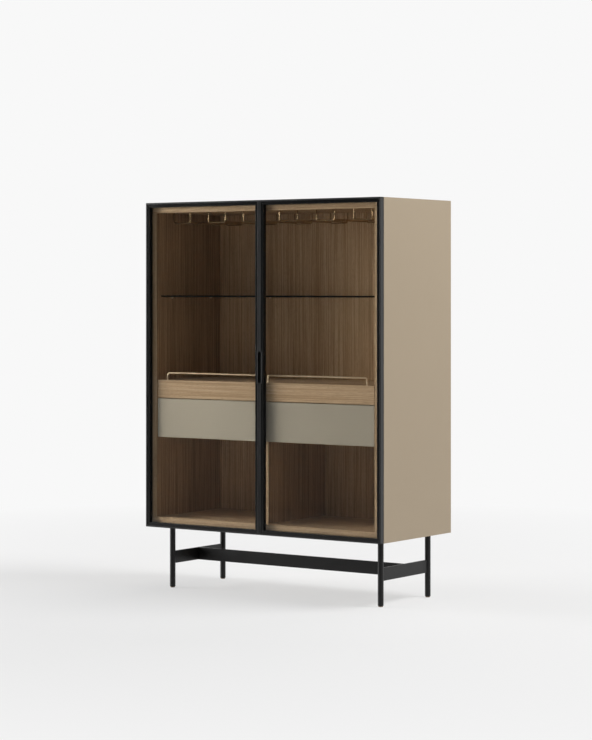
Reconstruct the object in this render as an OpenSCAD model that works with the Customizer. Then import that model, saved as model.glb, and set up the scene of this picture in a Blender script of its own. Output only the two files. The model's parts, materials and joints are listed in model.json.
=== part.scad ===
// Bar cabinet with two glazed doors, pull-out trays, drawers and a steel base.
// The origin is on the floor under the middle of the cabinet, +Z is up, and -Y is the front.

/* [Case] */
// Width over the outer sides
case_w = 1000; // [860:10:1200]
// Depth of the case without its doors
case_d = 430; // [400:5:500]
// Height of the case without its legs
case_h = 1156; // [1050:2:1300]
// Thickness of the lacquered outer panels
shell_t = 18; // [16:1:22]
// Thickness of the oak lining
lining_t = 18; // [14:1:22]
// Depth of the space between the oak back and the rear panel
service_d = 28; // [10:1:60]
// Thickness of the oak back
oak_back_t = 18; // [12:1:20]
// Thickness of the rear panel
rear_t = 8; // [5:1:10]
// Thickness of the divider between the bottle bays
divider_t = 19; // [16:1:25]
// How far the divider stands behind the front edge of the case
divider_setback = 25; // [24:1:40]

/* [Doors] */
// Thickness of a door
door_t = 18.5; // [17:0.5:22]
// Gap between a closed door and the case
door_gap = 1.5; // [1.5:0.1:3]
// Gap between the two doors
meeting_gap = 3; // [2:0.5:4]
// Width of the frame as seen from the front
frame_w = 16; // [15:0.5:20]
// Thickness of the smoked glass
glass_t = 4; // [3:0.5:5]
// Height of the finger pull
pull_h = 110; // [80:5:160]
// Height of the finger pull's middle above the bottom of the case
pull_mid = 578; // [500:1:700]

/* [Upper space] */
// Thickness of the glass shelf
shelf_t = 6; // [5:1:10]
// Height of the shelf's underside above the bottom of the case
shelf_bottom = 820; // [700:1:950]
// How far the shelf stands behind the front edge of the case
shelf_setback = 22; // [15:1:40]
// Number of stemware hangers
hanger_count = 6; // [4:1:8]
// Width of a hanger between the middles of its rails
hanger_w = 75; // [60:1:80]
// Drop of a hanger's lowest bar below the ceiling
hanger_drop = 36.5; // [30:0.5:60]
// Diameter of the hanger wire
hanger_wire_d = 4; // [3:0.5:5]

/* [Trays and drawers] */
// Height of a tray's top face above the bottom of the case
tray_top = 525; // [450:1:600]
// Height of a tray's front
tray_front_h = 64; // [60:1:80]
// Height of a drawer's front
drawer_front_h = 137; // [110:1:160]
// Gap between the fronts, and between a front and the wall beside it
front_gap = 2.5; // [2:0.5:4]
// Thickness of the tray and drawer fronts
front_t = 18; // [15:1:20]
// How far the fronts stand behind the front edge of the case
front_setback = 1.5; // [1:0.5:3]
// Thickness of the drawer sides and of the boards under a tray
box_t = 12; // [10:1:15]
// Height of the gallery rail's middle above the tray
gallery_rise = 25; // [20:1:40]
// Diameter of the gallery rail
gallery_d = 6; // [5:0.5:8]
// Distance from the rear end of a runner to the oak back
runner_back_gap = 27; // [10:1:60]

/* [Base] */
// Height of the case above the floor
leg_h = 222; // [160:2:260]
// Diameter of a leg
leg_d = 20; // [18:1:30]
// Distance from a side of the case to the middle of a leg
leg_inset_x = 55; // [35:1:150]
// Distance from the front or the rear of the case to the middle of a leg
leg_inset_y = 65; // [35:1:120]
// Height of the base bars
bar_h = 44.5; // [30:0.5:60]
// Thickness of the base bars
bar_t = 6; // [4:0.5:8]
// Distance from the case down to the top of the base bars
bar_drop = 91.5; // [70:0.5:110]

/* [Hidden] */

// Facets of a full circle; above twelve every bore is round
round_fn = 48;
// Overrun of every cut past the face that it opens
over = 1;
// Clearance between a piece and the recess that holds it
fit_gap = 0.1;
// Radial clearance of a pin in its hole
pin_clear = 0.05;
// Clearance between parts that run past each other
run_gap = 0.3;

// Places of the case
total_d = case_d + door_gap + door_t;
door_front_y = -total_d / 2;
case_front_y = door_front_y + door_t + door_gap;
case_back_y = total_d / 2;
case_mid_z = leg_h + case_h / 2;
case_top_z = leg_h + case_h;
wall_t = shell_t + lining_t;
wall_x = case_w / 2 - wall_t;
floor_z = leg_h + wall_t;
ceiling_z = case_top_z - wall_t;
rear_inset = 2;
inner_d = case_d - rear_inset - rear_t - service_d - oak_back_t;
oak_back_y = case_front_y + inner_d;

// Door frame: a hollow profile with a glazing groove and a raised outer rim
frame_wall = 1.5;
chamber_w = 6;
groove_depth = 7;
gasket_t = 1;
gasket_lip = 0.8;
groove_w = glass_t + 2 * gasket_t;
glass_edge_gap = 1;
rim_w = 5.5;
rim_step = 1.2;
chamber_v = rim_step + frame_wall;
groove_v = (door_t - groove_w) / 2;
door_w = (case_w - meeting_gap) / 2;
glass_reach = groove_depth - glass_edge_gap;
glass_y0 = door_front_y + groove_v + gasket_t;
key_len = 42;

// Pivot hinge: the pin stands near the outer rear corner of the door
pivot_side = 4.5;
pivot_back = 10;
pivot_d = 4;
pivot_len = 14;
eye_r = 4.4;
arm_w = 7;
leaf_t = 2.5;
leaf_len = 48;
leaf_w = 20;
leaf_setback = 4;
leaf_notch_gap = 0.4;
leaf_notch_front = eye_r + 2.5 * leaf_notch_gap;
leaf_screw_inset = 9;
leaf_screw_shares = [0.42, 1];
leaf_screw_len = 12;
pivot_x = case_w / 2 - pivot_side;
pivot_y = case_front_y - door_gap - pivot_back;

// Finger pull let into each meeting stile
pull_w = frame_w - groove_depth - fit_gap;
pull_d = 13;
pull_wall = 1.4;
pull_lip = 2;

// Catch magnets in the front edge of the ceiling
magnet_d = 8;
magnet_len = 10;
magnet_x = 12;

// Shelf and pins
shelf_side_gap = 1;
shelf_back_gap = 2;
pin_d = 5;
pin_in_wall = 10;
pin_reach = 9;
pin_end_inset = 60;
pin_back_share = 0.25;

// Stemware hangers
hanger_bend_r = 10;
hanger_front_d = 48;
hanger_pitch = 2 * wall_x / hanger_count;
hanger_back_gap = 14;
hanger_bar_z = ceiling_z - hanger_drop;
hanger_bend_z = hanger_bar_z + hanger_bend_r;
hanger_front_y = case_front_y + hanger_front_d;
hanger_rear_y = oak_back_y - hanger_back_gap;
// The rails meet the loops at the middle of their bends
hanger_rail_inset = hanger_bend_r * (1 - cos(45));
hanger_rail_x = hanger_w / 2 - hanger_rail_inset;
hanger_rail_z = hanger_bar_z + hanger_rail_inset;

// Trays and drawers
half_joint = 1;
front_x0 = half_joint;
front_x1 = wall_x - front_gap;
front_y0 = case_front_y + front_setback;
front_y1 = front_y0 + front_t;
tray_top_z = leg_h + tray_top;
tray_low_z = tray_top_z - tray_front_h;
tray_top_t = 18;
tray_back_gap = 2;
drawer_top_z = tray_low_z - front_gap;
drawer_low_z = drawer_top_z - drawer_front_h;
box_side_h = 108;
box_rise = 8;
box_back_gap = 24;
bottom_t = 6;
bottom_groove = 5;
bottom_rise = 6;
tray_side_h = 42;
box_y1 = oak_back_y - box_back_gap;
divider_top_gap = 2;

// Runners: a fixed channel on the wall and a slider on the box
runner_space = 12.5;
channel_d = 9.5;
channel_h = 30;
channel_wall = 1.5;
channel_lip = 4.5;
slider_neck_h = 13;
tray_runner_drop = 26;
drawer_runner_rise = 16;
runner_inset = 2;
runner_y0 = case_front_y + divider_setback + runner_inset;
runner_y1 = oak_back_y - runner_back_gap;
tray_runner_z = tray_top_z - tray_top_t - tray_runner_drop - channel_h / 2;
drawer_runner_z = drawer_low_z + box_rise + drawer_runner_rise;
box_x0 = divider_t / 2 + runner_space;
box_x1 = wall_x - runner_space;

// Gallery rail
gallery_inner_inset = 14;
gallery_outer_inset = 35.5;
gallery_bend_r = 10;
gallery_behind = 12.5;
gallery_seat = 12;
gallery_x0 = front_x0 + gallery_inner_inset;
gallery_x1 = front_x1 - gallery_outer_inset;
gallery_y = front_y0 + gallery_behind;
gallery_z = tray_top_z + gallery_rise;

// Base
plate_size = 56;
plate_t = 3;
plate_screw_inset = 9;
screw_d = 4;
screw_head_d = 8;
screw_len = 14;
glide_h = 3;
glide_d = 16;
glide_stem_d = 8;
glide_stem_len = 15;
foot_chamfer = 1;
leg_x = case_w / 2 - leg_inset_x;
case_mid_y = (case_front_y + case_back_y) / 2;
leg_front_y = case_front_y + leg_inset_y;
leg_rear_y = case_back_y - leg_inset_y;
bar_top_z = leg_h - bar_drop;
bar_low_z = bar_top_z - bar_h;

// Colours
taupe = [0.66, 0.60, 0.53];
oak = [0.63, 0.50, 0.37];
frame_black = [0.08, 0.08, 0.08];
steel_black = [0.13, 0.13, 0.13];
smoked = [0.25, 0.20, 0.16, 0.35];
clear_glass = [0.70, 0.75, 0.72, 0.45];
brass = [0.78, 0.68, 0.48];
drawer_grey = [0.60, 0.58, 0.52];
zinc = [0.62, 0.63, 0.64];
rubber = [0.05, 0.05, 0.05];
felt = [0.50, 0.42, 0.34];

// A box between its lowest and its highest corner
module block(low, high) {
    translate(low) cube(high - low);
}

// A flat outline in X and Z, given a depth from y0 to y1
module along_y(y0, y1) {
    translate([0, y1, 0]) rotate([90, 0, 0]) linear_extrude(y1 - y0) children();
}

// Draws a right-hand piece as it is, and a left-hand one as its mirror image
module on_side(side) {
    if (side < 0) mirror([1, 0, 0]) children();
    else children();
}

// Draws a piece of the upper end as it is, and one of the lower end upside down
module at_end(end) {
    if (end < 0) translate([0, 0, 2 * case_mid_z]) mirror([0, 0, 1]) children();
    else children();
}

// A straight round rod from one point to another along one of the axes
module rod_y(x, z, y0, y1, d) {
    translate([x, y1, z]) rotate([90, 0, 0]) cylinder(h = y1 - y0, d = d, $fn = round_fn);
}

module rod_x(x0, x1, y, z, d) {
    translate([x0, y, z]) rotate([0, 90, 0]) cylinder(h = x1 - x0, d = d, $fn = round_fn);
}

module rod_z(x, y, z0, z1, d) {
    translate([x, y, z0]) cylinder(h = z1 - z0, d = d, $fn = round_fn);
}

// A quarter bend in X and Z about the given middle, towards +X and +Z before it is turned
module bend_xz(x, y, z, r, d, turn) {
    translate([x, y, z]) rotate([0, turn, 0]) rotate([90, 0, 0])
        rotate_extrude(angle = 90, $fn = round_fn) translate([r, 0]) circle(d = d, $fn = round_fn);
}

// Plan of the hinge leaf on the case: eye, arm and screw plate
module case_leaf_plan(grow) {
    translate([pivot_x, pivot_y]) circle(r = eye_r + grow, $fn = round_fn);
    arm_y1 = case_front_y + leaf_setback + leaf_w / 2;
    translate([pivot_x - arm_w / 2 - grow, pivot_y]) square([arm_w + 2 * grow, arm_y1 - pivot_y]);
    plate_x1 = pivot_x + arm_w / 2;
    translate([plate_x1 - leaf_len - grow, case_front_y + leaf_setback - grow])
        square([leaf_len + 2 * grow, leaf_w + 2 * grow]);
}

// Recesses of all four case leaves, for cutting the outer panels
module case_leaf_recesses() {
    for (side = [-1, 1], end = [-1, 1]) {
        on_side(side) at_end(end)
            translate([0, 0, case_top_z - leaf_t]) linear_extrude(leaf_t + over)
                case_leaf_plan(fit_gap);
    }
}

// One mitred panel of the outer case, drawn as the top
module shell_top() {
    half = case_w / 2;
    along_y(case_front_y, case_back_y) polygon([
        [-half, case_top_z],
        [-half + shell_t, case_top_z - shell_t],
        [half - shell_t, case_top_z - shell_t],
        [half, case_top_z]
    ]);
}

// One mitred side of the outer case, drawn as the right one
module shell_side() {
    half = case_w / 2;
    along_y(case_front_y, case_back_y) polygon([
        [half, leg_h],
        [half, case_top_z],
        [half - shell_t, case_top_z - shell_t],
        [half - shell_t, leg_h + shell_t]
    ]);
}

module outer_top() {
    color(taupe) difference() {
        shell_top();
        case_leaf_recesses();
        all_leaf_screws(pin_clear);
    }
}

module outer_bottom() {
    color(taupe) difference() {
        at_end(-1) shell_top();
        case_leaf_recesses();
        all_leaf_screws(pin_clear);
        plate_blocks(fit_gap);
        all_plate_screws(pin_clear);
    }
}

module outer_side(side) {
    color(taupe) difference() {
        on_side(side) shell_side();
        case_leaf_recesses();
    }
}

module rear_panel() {
    half = case_w / 2 - shell_t;
    y1 = case_back_y - rear_inset;
    color(taupe) block([-half, y1 - rear_t, leg_h + shell_t], [half, y1, case_top_z - shell_t]);
}

module oak_ceiling() {
    half = case_w / 2 - shell_t;
    color(oak) difference() {
        block([-half, case_front_y, ceiling_z], [half, oak_back_y + oak_back_t, ceiling_z + lining_t]);
        for (side = [-1, 1]) magnet(side, pin_clear);
    }
}

module oak_floor() {
    half = case_w / 2 - shell_t;
    color(oak) block([-half, case_front_y, floor_z - lining_t],
        [half, oak_back_y + oak_back_t, floor_z]);
}

module oak_wall(side) {
    color(oak) difference() {
        on_side(side) block([wall_x, case_front_y, floor_z],
            [wall_x + lining_t, oak_back_y + oak_back_t, ceiling_z]);
        side_pins(side, pin_clear);
    }
}

module oak_back() {
    color(oak) difference() {
        block([-wall_x, oak_back_y, floor_z], [wall_x, oak_back_y + oak_back_t, ceiling_z]);
        back_pins(pin_clear);
    }
}

module lower_divider() {
    color(oak) block([-divider_t / 2, case_front_y + divider_setback, floor_z],
        [divider_t / 2, oak_back_y, tray_top_z - tray_top_t - divider_top_gap]);
}

module glass_shelf() {
    half = wall_x - shelf_side_gap;
    color(clear_glass) block([-half, case_front_y + shelf_setback, leg_h + shelf_bottom],
        [half, oak_back_y - shelf_back_gap, leg_h + shelf_bottom + shelf_t]);
}

// Pins in a side wall, under the ends of the shelf
module side_pins(side, grow) {
    z = leg_h + shelf_bottom - pin_d / 2;
    shelf_y0 = case_front_y + shelf_setback;
    shelf_y1 = oak_back_y - shelf_back_gap;
    for (y = [shelf_y0 + pin_end_inset, shelf_y1 - pin_end_inset]) {
        on_side(side) rod_x(wall_x - pin_reach, wall_x + pin_in_wall, y, z, pin_d + 2 * grow);
    }
}

// Pins in the oak back, under the rear edge of the shelf
module back_pins(grow) {
    z = leg_h + shelf_bottom - pin_d / 2;
    for (x = [-pin_back_share, pin_back_share] * 2 * wall_x) {
        rod_y(x, z, oak_back_y - pin_reach, oak_back_y + pin_in_wall, pin_d + 2 * grow);
    }
}

module shelf_pins() {
    color(brass) {
        side_pins(-1, 0);
        side_pins(1, 0);
        back_pins(0);
    }
}

// Loop of a hanger: two posts from the ceiling and a bar with bent ends between them
module hanger_loop(x, y) {
    half = hanger_w / 2;
    mid = half - hanger_bend_r;
    for (end = [-1, 1]) {
        rod_z(x + end * half, y, hanger_bend_z + fit_gap, ceiling_z, hanger_wire_d);
    }
    union() {
        rod_x(x - mid, x + mid, y, hanger_bar_z, hanger_wire_d);
        bend_xz(x + mid, y, hanger_bend_z, hanger_bend_r, hanger_wire_d, 90);
        bend_xz(x - mid, y, hanger_bend_z, hanger_bend_r, hanger_wire_d, 180);
    }
}

// A front and a rear loop, and the two rails between their corners
module hanger(x) {
    rail_gap = hanger_wire_d / 2 + fit_gap;
    hanger_loop(x, hanger_front_y);
    hanger_loop(x, hanger_rear_y);
    for (end = [-1, 1]) {
        rod_y(x + end * hanger_rail_x, hanger_rail_z, hanger_front_y + rail_gap,
            hanger_rear_y - rail_gap, hanger_wire_d);
    }
}

module stemware_hangers() {
    color(brass) for (i = [0 : hanger_count - 1]) {
        hanger(-wall_x + (i + 0.5) * hanger_pitch);
    }
}

module case_hinge_leaves() {
    color(steel_black) difference() {
        for (side = [-1, 1], end = [-1, 1]) on_side(side) at_end(end) union() {
            translate([0, 0, case_top_z - leaf_t]) linear_extrude(leaf_t) case_leaf_plan(0);
            rod_z(pivot_x, pivot_y, case_top_z - leaf_t - pivot_len, case_top_z - leaf_t / 2, pivot_d);
        }
        all_leaf_screws(pin_clear);
    }
}

// A countersunk screw standing on its head
module screw(len, grow) {
    translate([0, 0, -grow]) {
        cylinder(h = (screw_head_d - screw_d) / 2, d1 = screw_head_d + 2 * grow,
            d2 = screw_d + 2 * grow, $fn = round_fn);
        cylinder(h = len + 2 * grow, d = screw_d + 2 * grow, $fn = round_fn);
    }
}

// Countersunk screws that hold the case leaves
module all_leaf_screws(grow) {
    reach = leaf_len - leaf_screw_inset;
    for (side = [-1, 1], end = [-1, 1], share = leaf_screw_shares) {
        on_side(side) at_end(end)
            translate([pivot_x + arm_w / 2 - reach * share,
                case_front_y + leaf_setback + leaf_w / 2, case_top_z])
                mirror([0, 0, 1]) screw(leaf_screw_len, grow);
    }
}

module hinge_screws() {
    color(zinc) all_leaf_screws(0);
}

module magnet(side, grow) {
    on_side(side) rod_y(magnet_x, ceiling_z + lining_t / 2, case_front_y,
        case_front_y + magnet_len, magnet_d + 2 * grow);
}

module catch_magnets() {
    color(zinc) for (side = [-1, 1]) magnet(side, 0);
}

// Section of a fixed channel, opening towards the box; x runs away from the wall
module channel_section() {
    difference() {
        square([channel_d, channel_h]);
        translate([channel_wall, channel_wall])
            square([channel_d - 2 * channel_wall, channel_h - 2 * channel_wall]);
        translate([channel_wall, channel_wall + channel_lip])
            square([channel_d, channel_h - 2 * channel_wall - 2 * channel_lip]);
    }
}

// Section of the slider that runs in the channel and reaches out to the box
module slider_section() {
    gap = channel_wall + run_gap;
    translate([gap, gap]) square([channel_d - 2 * gap, channel_h - 2 * gap]);
    translate([gap, (channel_h - slider_neck_h) / 2]) square([runner_space - gap, slider_neck_h]);
}

// Places a runner section on both walls of a right-hand bay
module runner_pair(z) {
    along_y(runner_y0, runner_y1) translate([divider_t / 2, z]) children();
    along_y(runner_y0, runner_y1) translate([wall_x, z]) mirror([1, 0]) children();
}

module runner_channels() {
    color(zinc) for (side = [-1, 1], z = [tray_runner_z, drawer_runner_z]) {
        on_side(side) runner_pair(z) channel_section();
    }
}

module sliders(side, z) {
    color(zinc) on_side(side) runner_pair(z) slider_section();
}

// The hollow frame profile: x from the outer edge inwards, y from the front to the back
module frame_profile() {
    difference() {
        square([frame_w, door_t]);
        translate([frame_wall, chamber_v])
            square([chamber_w, door_t - chamber_v - frame_wall]);
        translate([frame_w - groove_depth, groove_v]) square([groove_depth + over, groove_w]);
        translate([rim_w, -over]) square([frame_w, rim_step + over]);
    }
}

// A length of the frame along Z with both ends mitred towards the inner edge
module mitred_length(length) {
    intersection() {
        linear_extrude(length) frame_profile();
        along_y(-over, door_t + over) polygon([
            [0, 0],
            [frame_w, frame_w],
            [frame_w, length - frame_w],
            [0, length]
        ]);
    }
}

// Notches in a right-hand door that leave room for the eyes and arms of the case leaves
module leaf_notches() {
    notch_t = leaf_t + run_gap;
    for (end = [-1, 1]) {
        at_end(end) block(
            [pivot_x - eye_r - leaf_notch_gap, pivot_y - leaf_notch_front, case_top_z - notch_t],
            [case_w / 2 + over, case_front_y, case_top_z + over]);
        at_end(end) rod_z(pivot_x, pivot_y, case_top_z - leaf_t - pivot_len - run_gap,
            case_top_z + over, pivot_d + 2 * pin_clear);
    }
}

module door_hinge_stile(side) {
    color(frame_black) on_side(side) difference() {
        translate([case_w / 2, door_front_y, leg_h]) mirror([1, 0, 0]) mitred_length(case_h);
        leaf_notches();
    }
}

// Outline of the finger pull in X and Z, grown on the side away from the other door
module pull_space(grow) {
    z = leg_h + pull_mid;
    block([meeting_gap / 2 - over, door_front_y - over, z - pull_h / 2 - grow],
        [meeting_gap / 2 + pull_w + grow, door_front_y + pull_d + grow, z + pull_h / 2 + grow]);
}

module door_meeting_stile(side) {
    color(frame_black) on_side(side) difference() {
        translate([meeting_gap / 2, door_front_y, leg_h]) mitred_length(case_h);
        pull_space(0);
    }
}

module door_rail(side, end) {
    color(frame_black) on_side(side) difference() {
        at_end(end) translate([meeting_gap / 2, door_front_y, case_top_z])
            rotate([0, 90, 0]) mitred_length(door_w);
        leaf_notches();
    }
}

// A plate behind the frame opening, reaching the given distance under the frame
module glazing_block(reach, y0, y1) {
    inset = frame_w - reach;
    block([meeting_gap / 2 + inset, y0, leg_h + inset],
        [case_w / 2 - inset, y1, case_top_z - inset]);
}

module door_glass(side) {
    color(smoked) on_side(side) glazing_block(glass_reach, glass_y0, glass_y0 + glass_t);
}

module door_gasket(side) {
    y0 = door_front_y + groove_v;
    color(rubber) on_side(side) difference() {
        glazing_block(groove_depth, y0, y0 + groove_w);
        glazing_block(-gasket_lip, y0 - over, y0 + groove_w + over);
        glazing_block(glass_reach, glass_y0, glass_y0 + glass_t);
    }
}

// Shallow cup that lines the finger pull, with a lip to hook a finger behind
module door_pull(side) {
    z = leg_h + pull_mid;
    x0 = meeting_gap / 2;
    y0 = door_front_y + rim_step;
    y1 = door_front_y + pull_d;
    x1 = x0 + pull_w;
    color(rubber) on_side(side) union() {
        difference() {
            block([x0, y0, z - pull_h / 2], [x1, y1, z + pull_h / 2]);
            block([x0 - over, y0 - over, z - pull_h / 2 + pull_wall],
                [x1 - pull_wall, y1 - pull_wall, z + pull_h / 2 - pull_wall]);
        }
        block([x1 - pull_wall - pull_lip, y0, z - pull_h / 2 + pull_wall],
            [x1 - pull_wall, y0 + pull_wall, z + pull_h / 2 - pull_wall]);
    }
}

// L-shaped key in the chambers of a stile and a rail, drawn at the upper outer corner
module corner_key_solid() {
    near = frame_wall + fit_gap;
    far = frame_wall + chamber_w - fit_gap;
    half = case_w / 2;
    along_y(door_front_y + chamber_v + fit_gap, door_front_y + door_t - frame_wall - fit_gap)
        polygon([
            [half - near, case_top_z - near],
            [half - near, case_top_z - near - key_len],
            [half - far, case_top_z - near - key_len],
            [half - far, case_top_z - far],
            [half - near - key_len, case_top_z - far],
            [half - near - key_len, case_top_z - near]
        ]);
}

// Keys in the hinge stile, bored for the pivot pins
module door_pivot_blocks(side) {
    color(zinc) on_side(side) difference() {
        for (end = [-1, 1]) at_end(end) corner_key_solid();
        leaf_notches();
    }
}

// Keys in the meeting stile
module door_corner_keys(side) {
    middle = (case_w + meeting_gap) / 4;
    color(zinc) on_side(side) for (end = [-1, 1]) {
        at_end(end) translate([2 * middle, 0, 0]) mirror([1, 0, 0]) corner_key_solid();
    }
}

module tray_front(side) {
    color(oak) on_side(side) difference() {
        block([front_x0, front_y0, tray_low_z], [front_x1, front_y1, tray_top_z]);
        for (x = [gallery_x0, gallery_x1]) {
            rod_z(x, gallery_y, tray_top_z - gallery_seat, tray_top_z + over,
                gallery_d + 2 * pin_clear);
        }
    }
}

// Top board with the side boards and the back rail under it, glued to one another
module tray_frame(side) {
    under_z = tray_top_z - tray_top_t;
    low_z = under_z - tray_side_h;
    high_z = under_z - fit_gap;
    color(oak) on_side(side) {
        block([front_x0, front_y1, under_z], [front_x1, oak_back_y - tray_back_gap, tray_top_z]);
        for (x = [box_x0, box_x1 - box_t]) {
            block([x, front_y1, low_z], [x + box_t, box_y1, high_z]);
        }
        block([box_x0 + box_t + fit_gap, box_y1 - box_t, low_z],
            [box_x1 - box_t - fit_gap, box_y1, high_z]);
    }
}

module tray_gallery(side) {
    color(brass) on_side(side) union() {
        for (x = [gallery_x0, gallery_x1]) {
            rod_z(x, gallery_y, tray_top_z - gallery_seat, gallery_z - gallery_bend_r, gallery_d);
        }
        rod_x(gallery_x0 + gallery_bend_r, gallery_x1 - gallery_bend_r, gallery_y, gallery_z,
            gallery_d);
        bend_xz(gallery_x1 - gallery_bend_r, gallery_y, gallery_z - gallery_bend_r,
            gallery_bend_r, gallery_d, 0);
        bend_xz(gallery_x0 + gallery_bend_r, gallery_y, gallery_z - gallery_bend_r,
            gallery_bend_r, gallery_d, -90);
    }
}

module drawer_front(side) {
    color(drawer_grey) on_side(side) difference() {
        block([front_x0, front_y0, drawer_low_z], [front_x1, front_y1, drawer_top_z]);
        drawer_bottom_board(fit_gap);
    }
}

// Bottom of a right-hand drawer, held in grooves of the front and the sides
module drawer_bottom_board(grow) {
    z = drawer_low_z + box_rise + bottom_rise;
    block([box_x0 + box_t - bottom_groove - grow, front_y1 - bottom_groove - grow, z - grow],
        [box_x1 - box_t + bottom_groove + grow, box_y1 + grow, z + bottom_t + grow]);
}

// Two sides, the back and the bottom of a drawer, glued to one another
module drawer_box(side) {
    low_z = drawer_low_z + box_rise;
    top_z = low_z + box_side_h;
    color(oak) on_side(side) {
        for (x = [box_x0, box_x1 - box_t]) difference() {
            block([x, front_y1, low_z], [x + box_t, box_y1, top_z]);
            drawer_bottom_board(fit_gap);
        }
        block([box_x0 + box_t + fit_gap, box_y1 - box_t, low_z + bottom_rise + bottom_t + fit_gap],
            [box_x1 - box_t - fit_gap, box_y1, top_z]);
        drawer_bottom_board(0);
    }
}

// A leg with its foot end chamfered and bored for the glide
module leg(x, y) {
    color(steel_black) difference() {
        union() {
            rod_z(x, y, glide_h + foot_chamfer, leg_h, leg_d);
            translate([x, y, glide_h]) cylinder(h = foot_chamfer, d1 = leg_d - 2 * foot_chamfer,
                d2 = leg_d, $fn = round_fn);
        }
        rod_z(x, y, glide_h - over, glide_h + glide_stem_len + fit_gap,
            glide_stem_d + 2 * pin_clear);
    }
}

// Places what it draws at all four legs
module at_legs() {
    for (x = [-leg_x, leg_x], y = [leg_front_y, leg_rear_y]) translate([x, y, 0]) children();
}

// Square plates at the heads of the legs, let in flush into the bottom of the case
module plate_blocks(grow) {
    half = plate_size / 2 + grow;
    at_legs() block([-half, -half, leg_h - grow], [half, half, leg_h + plate_t]);
}

module leg_plates() {
    color(steel_black) difference() {
        plate_blocks(0);
        all_plate_screws(pin_clear);
    }
}

// Countersunk screws that hold the leg plates
module all_plate_screws(grow) {
    inset = plate_size / 2 - plate_screw_inset;
    at_legs() for (x = [-inset, inset], y = [-inset, inset]) translate([x, y, leg_h]) {
        screw(screw_len, grow);
    }
}

module plate_screws() {
    color(zinc) all_plate_screws(0);
}

module leg_glides() {
    color(felt) at_legs() union() {
        cylinder(h = glide_h, d = glide_d, $fn = round_fn);
        cylinder(h = glide_h + glide_stem_len, d = glide_stem_d, $fn = round_fn);
    }
}

module side_base_bar(side) {
    color(steel_black) difference() {
        on_side(side) block([leg_x - bar_t / 2, leg_front_y, bar_low_z],
            [leg_x + bar_t / 2, leg_rear_y, bar_top_z]);
        at_legs() cylinder(h = leg_h, d = leg_d, $fn = round_fn);
    }
}

module long_base_bar() {
    half = leg_x - bar_t / 2;
    color(steel_black) block([-half, case_mid_y - bar_t / 2, bar_low_z],
        [half, case_mid_y + bar_t / 2, bar_top_z]);
}

outer_top();
outer_bottom();
outer_side(-1);  // outer_left_side
outer_side(1);  // outer_right_side
rear_panel();
oak_ceiling();
oak_floor();
oak_wall(-1);  // oak_left_wall
oak_wall(1);  // oak_right_wall
oak_back();
lower_divider();
glass_shelf();
shelf_pins();
stemware_hangers();
case_hinge_leaves();
hinge_screws();
catch_magnets();
runner_channels();
leg(-leg_x, leg_front_y);  // leg_front_left
leg(leg_x, leg_front_y);  // leg_front_right
leg(-leg_x, leg_rear_y);  // leg_rear_left
leg(leg_x, leg_rear_y);  // leg_rear_right
side_base_bar(-1);  // left_base_bar
side_base_bar(1);  // right_base_bar
long_base_bar();
leg_plates();
plate_screws();
leg_glides();
door_hinge_stile(-1);  // left_door_hinge_stile
door_meeting_stile(-1);  // left_door_meeting_stile
door_rail(-1, 1);  // left_door_top_rail
door_rail(-1, -1);  // left_door_bottom_rail
door_glass(-1);  // left_door_glass
door_gasket(-1);  // left_door_gasket
door_pull(-1);  // left_door_pull
door_pivot_blocks(-1);  // left_door_pivot_blocks
door_corner_keys(-1);  // left_door_corner_keys
door_hinge_stile(1);  // right_door_hinge_stile
door_meeting_stile(1);  // right_door_meeting_stile
door_rail(1, 1);  // right_door_top_rail
door_rail(1, -1);  // right_door_bottom_rail
door_glass(1);  // right_door_glass
door_gasket(1);  // right_door_gasket
door_pull(1);  // right_door_pull
door_pivot_blocks(1);  // right_door_pivot_blocks
door_corner_keys(1);  // right_door_corner_keys
tray_front(-1);  // left_tray_front
tray_frame(-1);  // left_tray_frame
tray_gallery(-1);  // left_tray_gallery
sliders(-1, tray_runner_z);  // left_tray_sliders
tray_front(1);  // right_tray_front
tray_frame(1);  // right_tray_frame
tray_gallery(1);  // right_tray_gallery
sliders(1, tray_runner_z);  // right_tray_sliders
drawer_front(-1);  // left_drawer_front
drawer_box(-1);  // left_drawer_box
sliders(-1, drawer_runner_z);  // left_drawer_sliders
drawer_front(1);  // right_drawer_front
drawer_box(1);  // right_drawer_box
sliders(1, drawer_runner_z);  // right_drawer_sliders
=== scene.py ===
"""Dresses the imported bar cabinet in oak, lacquer, smoked glass and steel, and sets it in a studio."""

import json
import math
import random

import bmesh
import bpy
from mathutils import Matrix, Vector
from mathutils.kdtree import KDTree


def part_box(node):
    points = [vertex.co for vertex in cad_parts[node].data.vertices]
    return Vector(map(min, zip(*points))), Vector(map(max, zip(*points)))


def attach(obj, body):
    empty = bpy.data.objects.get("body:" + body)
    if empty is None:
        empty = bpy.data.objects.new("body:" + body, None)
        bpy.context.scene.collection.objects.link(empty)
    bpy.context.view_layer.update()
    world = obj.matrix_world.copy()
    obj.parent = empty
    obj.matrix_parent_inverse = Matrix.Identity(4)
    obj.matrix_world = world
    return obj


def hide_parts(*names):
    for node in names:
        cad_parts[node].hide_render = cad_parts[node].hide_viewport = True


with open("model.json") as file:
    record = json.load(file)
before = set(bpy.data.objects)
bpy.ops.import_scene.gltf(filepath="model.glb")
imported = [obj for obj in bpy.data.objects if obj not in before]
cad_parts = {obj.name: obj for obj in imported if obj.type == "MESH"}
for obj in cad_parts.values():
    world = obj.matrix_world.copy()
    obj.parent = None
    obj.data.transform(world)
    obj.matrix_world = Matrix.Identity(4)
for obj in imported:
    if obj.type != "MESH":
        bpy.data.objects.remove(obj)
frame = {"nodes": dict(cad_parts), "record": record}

bl_info = {
    "name": "Bar Cabinet",
    "version": (1, 0, 0),
    "blender": (4, 5, 0),
    "location": "3D View > Sidebar > Bar Cabinet",
    "description": "Dresses a glazed bar cabinet and sets it in a plain studio",
    "category": "Object",
}

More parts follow.
